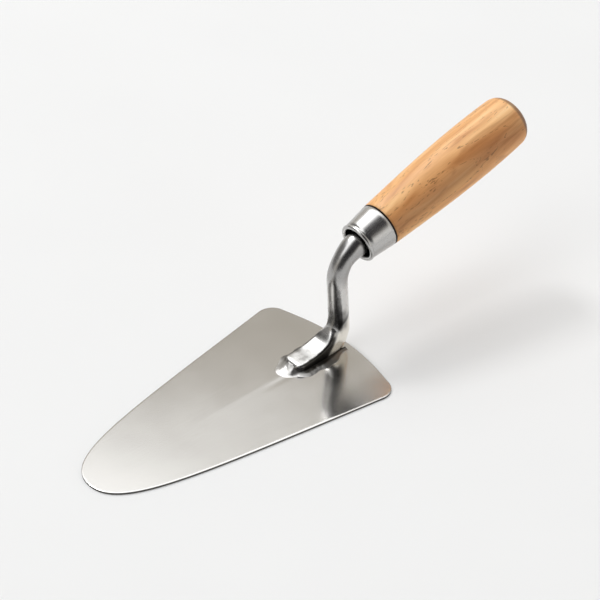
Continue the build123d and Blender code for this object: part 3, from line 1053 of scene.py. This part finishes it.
# ---- Stage, light and camera ----
def floor_finish():
    material, n = new_material("pale_floor")
    mottle = n.add("TexNoise", {"Vector": n.object_coords(), "Scale": 8}).outputs["Fac"]
    n.shade("Base Color", n.ramp(mottle, FLOOR_TONES))
    n.shade("Roughness", 0.85)
    n.shade("Specular IOR Level", 0.1)
    n.shade("Emission Color", (1, 1, 1))
    n.shade("Emission Strength", FLOOR_GLOW)
    return material


def make_floor():
    mesh = bmesh.new()
    bmesh.ops.create_grid(mesh, x_segments=2, y_segments=2, size=FLOOR_SIZE)
    floor = finished("studio_floor", mesh)
    floor.location.z = cad_box[0][2]
    floor.data.materials.append(floor_finish())


def direction(azimuth, elevation):
    """From the object towards a place in the studio. Azimuth 0 is the camera's side, and 90 its right."""
    turn = CAMERA_AZIMUTH + math.pi + math.radians(azimuth)
    flat = Vector((-math.sin(turn), math.cos(turn), 0))
    rise = math.radians(elevation)
    return flat * math.cos(rise) + UP * math.sin(rise)


def make_key():
    """A soft light behind the object, high on the camera's left."""
    towards = direction(*KEY_PLACE)
    light = bpy.data.lights.new("key", "AREA")
    light.shape = "RECTANGLE"
    light.size = KEY_SIZE
    light.size_y = KEY_SIZE
    light.energy = KEY_POWER
    lamp = bpy.data.objects.new("key", light)
    lamp.location = CAMERA_TARGET + towards * KEY_DISTANCE
    lamp.rotation_euler = (-towards).to_track_quat("-Z", "Y").to_euler()
    bpy.context.scene.collection.objects.link(lamp)


def make_world():
    """A studio seen in the reflections: grey walls below, a white ceiling above, dark round the camera."""
    world = bpy.data.worlds.new("studio")
    bpy.context.scene.world = world
    world.use_nodes = True
    n = Nodes(world.node_tree, "Background")
    view = n.add("TexCoord").outputs["Generated"]
    tilted_up = direction(-90, 0) * math.sin(STUDIO_TILT) + UP * math.cos(STUDIO_TILT)
    light = n.ramp(n.dot(view, tilted_up), STUDIO_RISE)
    for spot, inner, outer, colour in STUDIO_PATCHES:
        edge, middle = math.cos(math.radians(outer)), math.cos(math.radians(inner))
        light = n.blend(n.fade(n.dot(view, direction(*spot)), edge, middle), light, colour)
    n.shade("Color", light)
    n.shade("Strength", STUDIO_LEVEL)


def make_camera():
    data = bpy.data.cameras.new("camera")
    data.lens = CAMERA_LENS
    data.sensor_width = CAMERA_SENSOR
    data.clip_end = CAMERA_REACH
    camera = bpy.data.objects.new("camera", data)
    out = direction(0, CAMERA_ELEVATION)
    camera.location = CAMERA_TARGET + out * CAMERA_DISTANCE
    turn = (-out).to_track_quat("-Z", "Y").to_matrix().to_4x4()
    camera.rotation_euler = (turn @ Matrix.Rotation(CAMERA_ROLL, 4, "Z")).to_euler()
    bpy.context.scene.collection.objects.link(camera)
    bpy.context.scene.camera = camera


# ---- Build ----
def place(piece, node, material):
    piece.data.materials.append(material)
    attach(piece, "root")
    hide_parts(node)


blade_steel = steel(
    "blade_steel", BLADE_TONE, 0.14, brush=(40, 2600, 400), waves=0.01, wave_scale=30,
    dark=blade_edge_painted_shade, dull=heel_corner
)
shank_steel = steel(
    "shank_steel", SHANK_TONE, 0.27, brush=(300, 300, 300), waves=0.16, wave_scale=150, shades=shank_tones_and_painted_light
)
weld_steel = steel(
    "weld_steel", WELD_TONE, 0.34, brush=(300, 300, 300), waves=0.35, wave_scale=330, dark=weld_crease_shade
)
ferrule_steel = steel(
    "ferrule_steel", FERRULE_TONE, 0.27, brush=(40, 1800, 1800), waves=0.02, wave_scale=90,
    coords=handle_coords, dark=ferrule_inside_shade
)
blade_outline = blade_half_outline()
place(make_blade(blade_outline), "blade", blade_steel)
place(make_shank(), "shank", shank_steel)
place(make_weld(blade_outline), "weld", weld_steel)
place(make_ferrule(), "ferrule", ferrule_steel)
place(make_handle(), "handle", wood("handle_wood"))
make_floor()
make_world()
make_key()
make_camera()
bpy.context.scene.view_settings.view_transform = "Standard"
